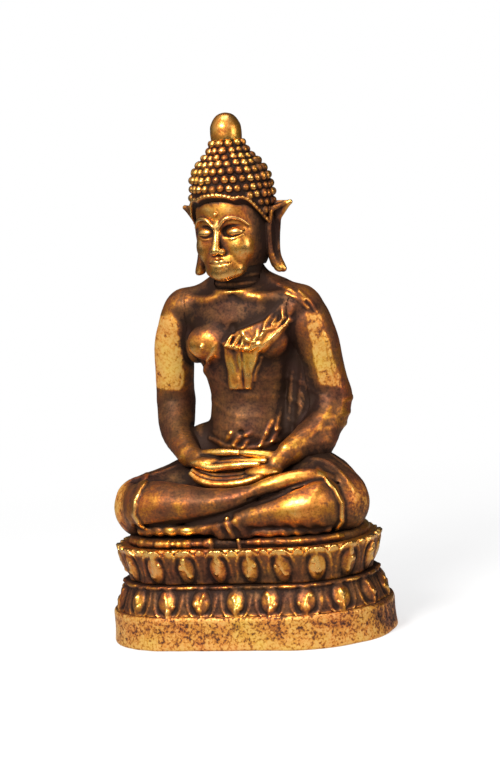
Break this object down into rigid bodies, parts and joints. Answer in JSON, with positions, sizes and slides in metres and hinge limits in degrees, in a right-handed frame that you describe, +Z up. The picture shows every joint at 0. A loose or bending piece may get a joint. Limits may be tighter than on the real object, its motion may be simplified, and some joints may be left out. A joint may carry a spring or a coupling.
{
  "type": "seated meditating statue",
  "caption": "Cast brass figure seated in meditation on a double lotus throne with an oval plinth, built in sections drawn together by a central tie rod.",
  "frame": {"origin": "centre of the plinth's resting face, on the ground plane", "axes": "+Z up, the figure faces -Y, the figure's own left hand is on +X"},
  "size_m": [0.0834, 0.05, 0.1484],
  "materials": {
    "figure_brass": "dark brown patina rubbed back to gold on the high parts",
    "throne_brass": "dark brown patina rubbed back to gold on petals and plinth, fine casting pores",
    "finial_brass": "polished",
    "plate_brass": "as sawn sheet, dull",
    "pin_brass": "drawn rod",
    "fixing_steel": "zinc plated"
  },
  "bodies": {
    "root": {"plinth": "throne_brass", "base_plate": "plate_brass", "tie_rod": "fixing_steel", "tie_washer": "fixing_steel", "tie_nut": "fixing_steel", "lower_lotus": "throne_brass", "upper_lotus": "throne_brass", "seat_plate": "throne_brass", "seat_dowels": "pin_brass", "lap": "figure_brass", "waist_dowels": "pin_brass", "torso": "figure_brass", "right_arm": "figure_brass", "left_arm": "figure_brass", "arm_pins": "pin_brass", "head": "figure_brass", "neck_pin": "pin_brass", "hair_cap": "figure_brass", "finial": "finial_brass"}
  },
  "joints": []
}
